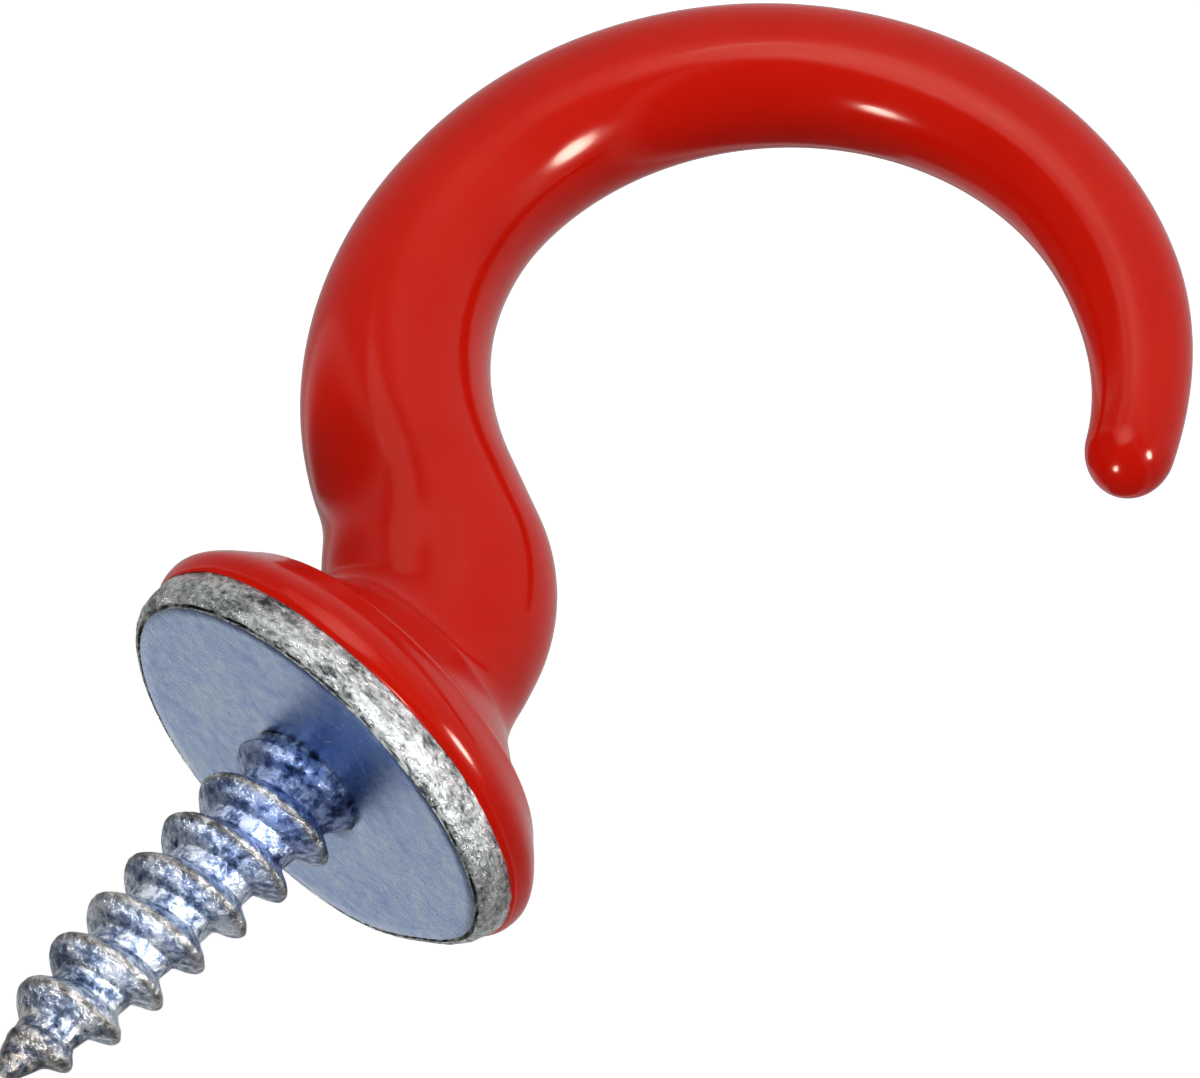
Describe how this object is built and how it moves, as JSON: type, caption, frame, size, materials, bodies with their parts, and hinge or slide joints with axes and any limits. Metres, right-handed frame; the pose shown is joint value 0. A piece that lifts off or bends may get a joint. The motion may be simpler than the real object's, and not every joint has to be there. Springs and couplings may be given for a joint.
{
  "type": "screw hook",
  "caption": "Screw-in cup hook: bent wire hook with a glossy red vinyl coat, round zinc-plated collar and a pointed wood-screw thread",
  "frame": {"origin": "centre of the collar's flat seat face, on the screw's axis", "axes": "+Z along the screw to its point, into what the hook is screwed into; the hook hangs below in the XZ plane with its open side towards -X"},
  "size_m": [0.0197, 0.0112, 0.0356],
  "materials": {
    "zinc_steel": "bluish zinc-plated steel, satin face and rough sparkling thread",
    "red_vinyl": "smooth high-gloss dipped vinyl"
  },
  "bodies": {
    "root": {"hook_wire": "zinc_steel", "collar": "zinc_steel", "vinyl_coat": "red_vinyl"}
  },
  "joints": []
}
